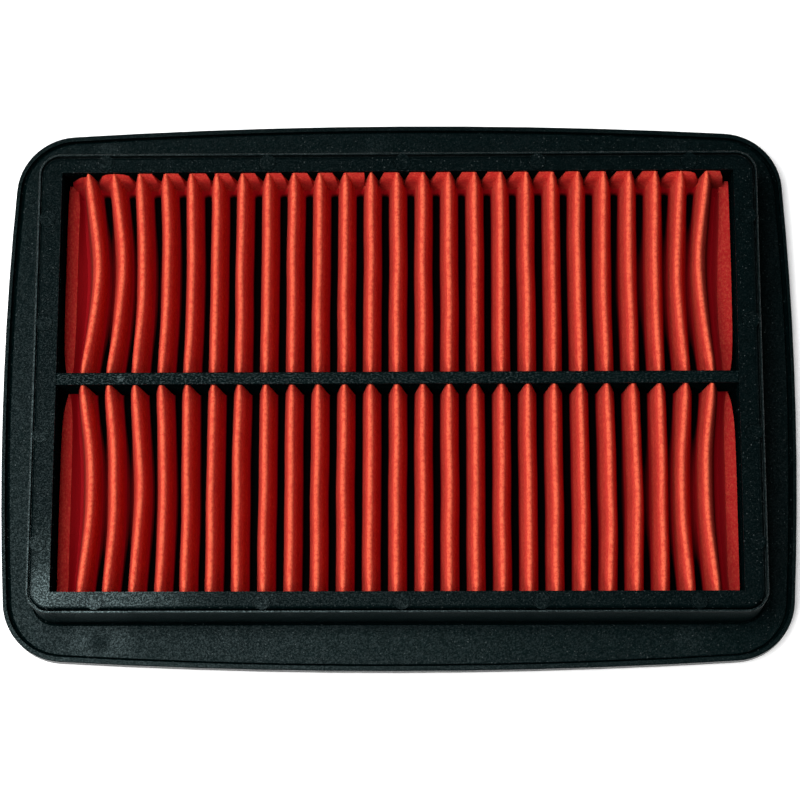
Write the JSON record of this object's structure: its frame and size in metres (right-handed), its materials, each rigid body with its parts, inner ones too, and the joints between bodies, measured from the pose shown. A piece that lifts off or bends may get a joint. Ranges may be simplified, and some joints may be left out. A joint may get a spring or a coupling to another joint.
{
  "type": "panel air filter",
  "caption": "Flat rectangular air filter with a crowned flange, a rubber edge seal, an upright box frame, pleated red media and a comb bar across the middle.",
  "frame": {"origin": "centre of the plane that the seal's ribs rest on", "axes": "+X along the filter's length, +Y along its width, +Z from the seal towards the open pleated face"},
  "size_m": [0.24, 0.17, 0.0243],
  "materials": {
    "seal_rubber": "soft matt moulded rubber",
    "housing_plastic": "fine spark-eroded grain, near black with a blue-green cast",
    "frame_plastic": "fine spark-eroded grain, near black with a blue-green cast",
    "bar_plastic": "rough moulded grain, near black",
    "grid_plastic": "fine grain, near black",
    "filter_media": "orange-red oiled fibre felt",
    "sealant": "cured black adhesive",
    "screen_wire": "plain drawn wire"
  },
  "bodies": {
    "root": {"perimeter_seal": "seal_rubber", "outer_housing": "housing_plastic", "cassette_frame": "frame_plastic", "pleated_media": "filter_media", "front_crossbar": "bar_plastic", "back_edge_sealant": "sealant", "front_edge_sealant": "sealant", "left_flap_sealant": "sealant", "right_flap_sealant": "sealant", "flame_screen": "screen_wire", "rear_grid": "grid_plastic"}
  },
  "joints": []
}
